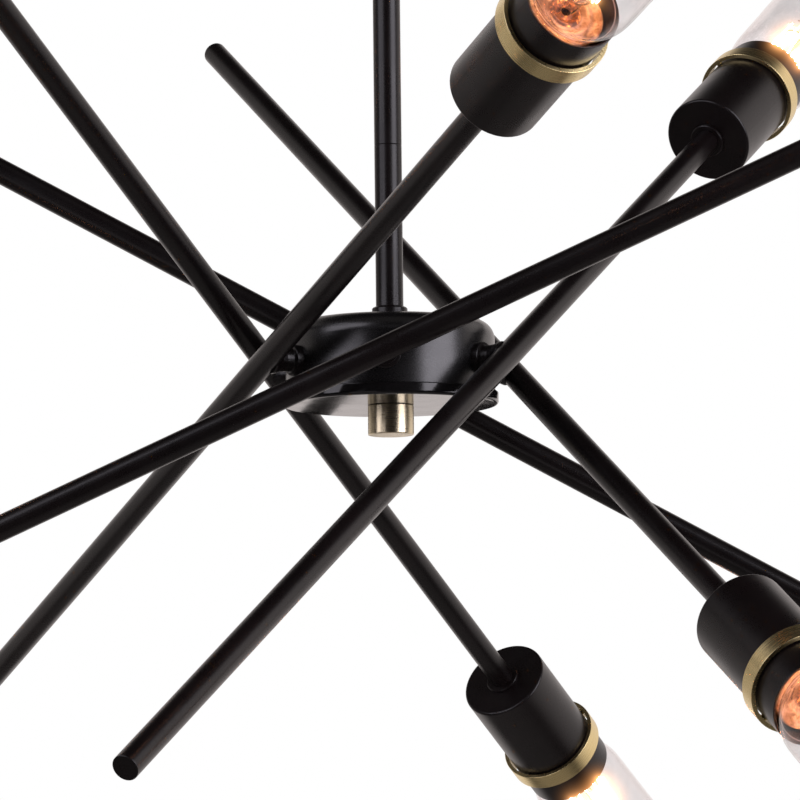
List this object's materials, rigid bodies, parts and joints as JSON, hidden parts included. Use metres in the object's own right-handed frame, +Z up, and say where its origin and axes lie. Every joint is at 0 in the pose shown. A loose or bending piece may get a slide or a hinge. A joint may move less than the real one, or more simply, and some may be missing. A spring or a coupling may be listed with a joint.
{
  "type": "sputnik chandelier",
  "caption": "Hub on a ceiling rod with tangential tubular arms that swivel in its wall, each with a cup lamp socket, brass ring and clear bulb at one end.",
  "frame": {"origin": "centre of the canopy's rim, in the plane of the ceiling", "axes": "+Z up into the ceiling, rod hanging along -Z, +X along the crossbar, -Y towards the viewer"},
  "size_m": [0.7325, 0.7094, 0.7036],
  "materials": {
    "canopy_black": "satin black powder coat",
    "rod_black": "satin black powder coat with a faint warm tone",
    "cup_black": "satin black powder coat",
    "hub_black": "semi-gloss black",
    "satin_brass": "brushed satin brass",
    "polished_brass": "polished brass",
    "zinc_steel": "zinc plated steel",
    "porcelain": "cream glazed porcelain",
    "cap_metal": "plated lamp cap",
    "clear_glass": "clear thin blown glass"
  },
  "bodies": {
    "ceiling_mount": {"canopy": "canopy_black", "crossbar": "zinc_steel", "crossbar_screws": "zinc_steel", "canopy_nuts": "canopy_black", "swivel_yoke": "canopy_black", "swivel_nut": "zinc_steel", "swivel_pin": "zinc_steel"},
    "stem": {"swivel_tongue": "rod_black", "upper_rod": "rod_black", "lower_rod": "rod_black", "rod_coupler": "zinc_steel", "hub_shell": "hub_black", "bottom_plate": "hub_black", "stem_collar": "rod_black", "hub_pipe": "zinc_steel", "hub_nuts": "zinc_steel", "finial": "polished_brass", "saddle_washers": "rod_black"},
    "arm1": {"arm1_tube": "rod_black", "arm1_stub": "rod_black", "arm1_cup": "cup_black", "arm1_ring": "satin_brass", "arm1_lampholder": "porcelain", "arm1_bulb_cap": "cap_metal", "arm1_bulb_glass": "clear_glass"},
    "arm2": {"arm2_tube": "rod_black", "arm2_stub": "rod_black", "arm2_cup": "cup_black", "arm2_ring": "satin_brass", "arm2_lampholder": "porcelain", "arm2_bulb_cap": "cap_metal", "arm2_bulb_glass": "clear_glass"},
    "arm3": {"arm3_tube": "rod_black", "arm3_stub": "rod_black", "arm3_cup": "cup_black", "arm3_ring": "satin_brass", "arm3_lampholder": "porcelain", "arm3_bulb_cap": "cap_metal", "arm3_bulb_glass": "clear_glass"},
    "arm4": {"arm4_tube": "rod_black", "arm4_stub": "rod_black", "arm4_cup": "cup_black", "arm4_ring": "satin_brass", "arm4_lampholder": "porcelain", "arm4_bulb_cap": "cap_metal", "arm4_bulb_glass": "clear_glass"},
    "arm5": {"arm5_tube": "rod_black", "arm5_stub": "rod_black", "arm5_cup": "cup_black", "arm5_ring": "satin_brass", "arm5_lampholder": "porcelain", "arm5_bulb_cap": "cap_metal", "arm5_bulb_glass": "clear_glass"},
    "arm6": {"arm6_tube": "rod_black", "arm6_stub": "rod_black", "arm6_cup": "cup_black", "arm6_ring": "satin_brass", "arm6_lampholder": "porcelain", "arm6_bulb_cap": "cap_metal", "arm6_bulb_glass": "clear_glass"}
  },
  "joints": [
    {"name": "stem_swivel", "type": "hinge", "parent": "ceiling_mount", "child": "stem", "pos_m": [0, 0, -0.038], "axis": [0, 1, 0], "range_deg": [-15, 15]},
    {"name": "arm1_swivel", "type": "hinge", "parent": "stem", "child": "arm1", "pos_m": [0, -0.0652, -0.4625], "axis": [0, -1, 0], "range_deg": [-12.34, 45.66]},
    {"name": "arm2_swivel", "type": "hinge", "parent": "stem", "child": "arm2", "pos_m": [0.05646, -0.0326, -0.4625], "axis": [0.866, -0.5, 0], "range_deg": [-19.73, 38.27]},
    {"name": "arm3_swivel", "type": "hinge", "parent": "stem", "child": "arm3", "pos_m": [0.05646, 0.0326, -0.4625], "axis": [0.866, 0.5, 0], "range_deg": [-20.43, 37.57]},
    {"name": "arm4_swivel", "type": "hinge", "parent": "stem", "child": "arm4", "pos_m": [0, 0.0652, -0.4625], "axis": [0, 1, 0], "range_deg": [-16.91, 41.09]},
    {"name": "arm5_swivel", "type": "hinge", "parent": "stem", "child": "arm5", "pos_m": [-0.05646, 0.0326, -0.4625], "axis": [-0.866, 0.5, 0], "range_deg": [-21.76, 36.24]},
    {"name": "arm6_swivel", "type": "hinge", "parent": "stem", "child": "arm6", "pos_m": [-0.05646, -0.0326, -0.4625], "axis": [-0.866, -0.5, 0], "range_deg": [-9.36, 48.64]}
  ]
}
